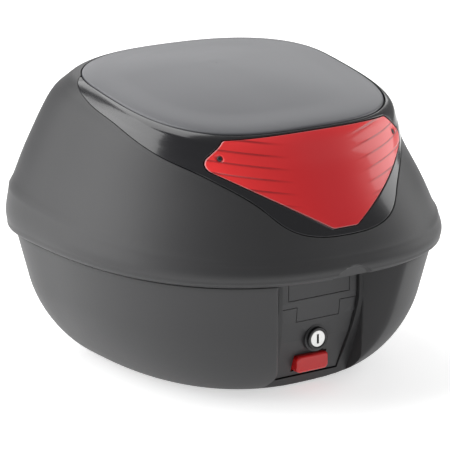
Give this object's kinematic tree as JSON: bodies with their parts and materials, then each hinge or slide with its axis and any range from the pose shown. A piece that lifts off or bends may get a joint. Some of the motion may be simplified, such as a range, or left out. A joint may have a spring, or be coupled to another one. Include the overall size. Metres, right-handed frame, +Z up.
{
  "type": "motorcycle top case",
  "caption": "Hard one-helmet luggage box with a hinged lid, keyed pull latch, red release button and a red rear reflector, made to clip on a rear rack plate.",
  "frame": {"origin": "middle of the case's footprint on the ground plane", "axes": "+Z up; +Y towards the rider and the hinges, so the lock faces -Y; +X to the right seen from behind"},
  "size_m": [0.406, 0.4048, 0.3047],
  "materials": {
    "textured_black": "fine moulded grain, matte",
    "panel_black": "smooth satin moulding",
    "gloss_black": "polished black",
    "cover_paint": "satin dark grey paint over plastic",
    "red_lens": "translucent red acrylic with prisms",
    "reflector_silver": "bright foil",
    "screw_black": "blackened steel",
    "seal_rubber": "soft rubber",
    "zinc_steel": "zinc plated",
    "spring_steel": "drawn wire",
    "lock_metal": "satin chrome",
    "bezel_black": "semi gloss ring",
    "red_button": "glossy red"
  },
  "bodies": {
    "base": {"base_shell": "textured_black", "rim_seal": "seal_rubber", "front_catches": "zinc_steel", "hinge_leaves": "textured_black", "hinge_leaf_screws": "zinc_steel", "hinge_pins": "zinc_steel", "lock_panel": "panel_black", "panel_screws": "zinc_steel", "lever_pins": "zinc_steel", "lock_barrel": "lock_metal", "lock_bezel": "bezel_black", "lock_nut": "zinc_steel", "hook_bracket": "zinc_steel", "hook_pin": "zinc_steel", "button_springs": "spring_steel"},
    "lid": {"lid_shell": "textured_black", "top_cover": "cover_paint", "cover_clips": "panel_black", "gloss_trim": "gloss_black", "lens": "red_lens", "reflector_backing": "reflector_silver", "lens_screws": "screw_black", "hinge_arms": "textured_black", "hinge_arm_screws": "zinc_steel", "latch_tray": "panel_black", "latch_hanger": "panel_black", "hanger_screws": "zinc_steel"},
    "latch_lever": {"latch_lever": "panel_black"},
    "lock_plug": {"lock_plug": "lock_metal", "lock_cam": "zinc_steel", "cam_screw": "zinc_steel"},
    "release_button": {"release_button": "red_button"},
    "plate_hook": {"plate_hook": "zinc_steel"}
  },
  "joints": [
    {"name": "lid_hinge", "type": "hinge", "parent": "base", "child": "lid", "pos_m": [0, 0.1974, 0.126], "axis": [-1, 0, 0], "range_deg": [0, 80]},
    {"name": "lever_pivot", "type": "hinge", "parent": "base", "child": "latch_lever", "pos_m": [0, -0.133, 0.118], "axis": [-1, 0, 0], "range_deg": [0, 55]},
    {"name": "key_turn", "type": "hinge", "parent": "base", "child": "lock_plug", "pos_m": [0, -0.133, 0.054], "axis": [0, -1, 0], "range_deg": [0, 90]},
    {"name": "button_slide", "type": "slide", "parent": "base", "child": "release_button", "axis": [0, 1, 0], "range_m": [0, 0.005], "stiffness_N_per_m": 300, "springref_m": -0.005, "deforming": ["button_springs"]},
    {"name": "hook_swing", "type": "hinge", "parent": "base", "child": "plate_hook", "pos_m": [0, -0.108, 0.014], "axis": [-1, 0, 0], "range_deg": [0, 18]}
  ],
  "couplings": [
    {"joint": "hook_swing", "follows": "button_slide", "rad_per_m": 62.5}
  ]
}
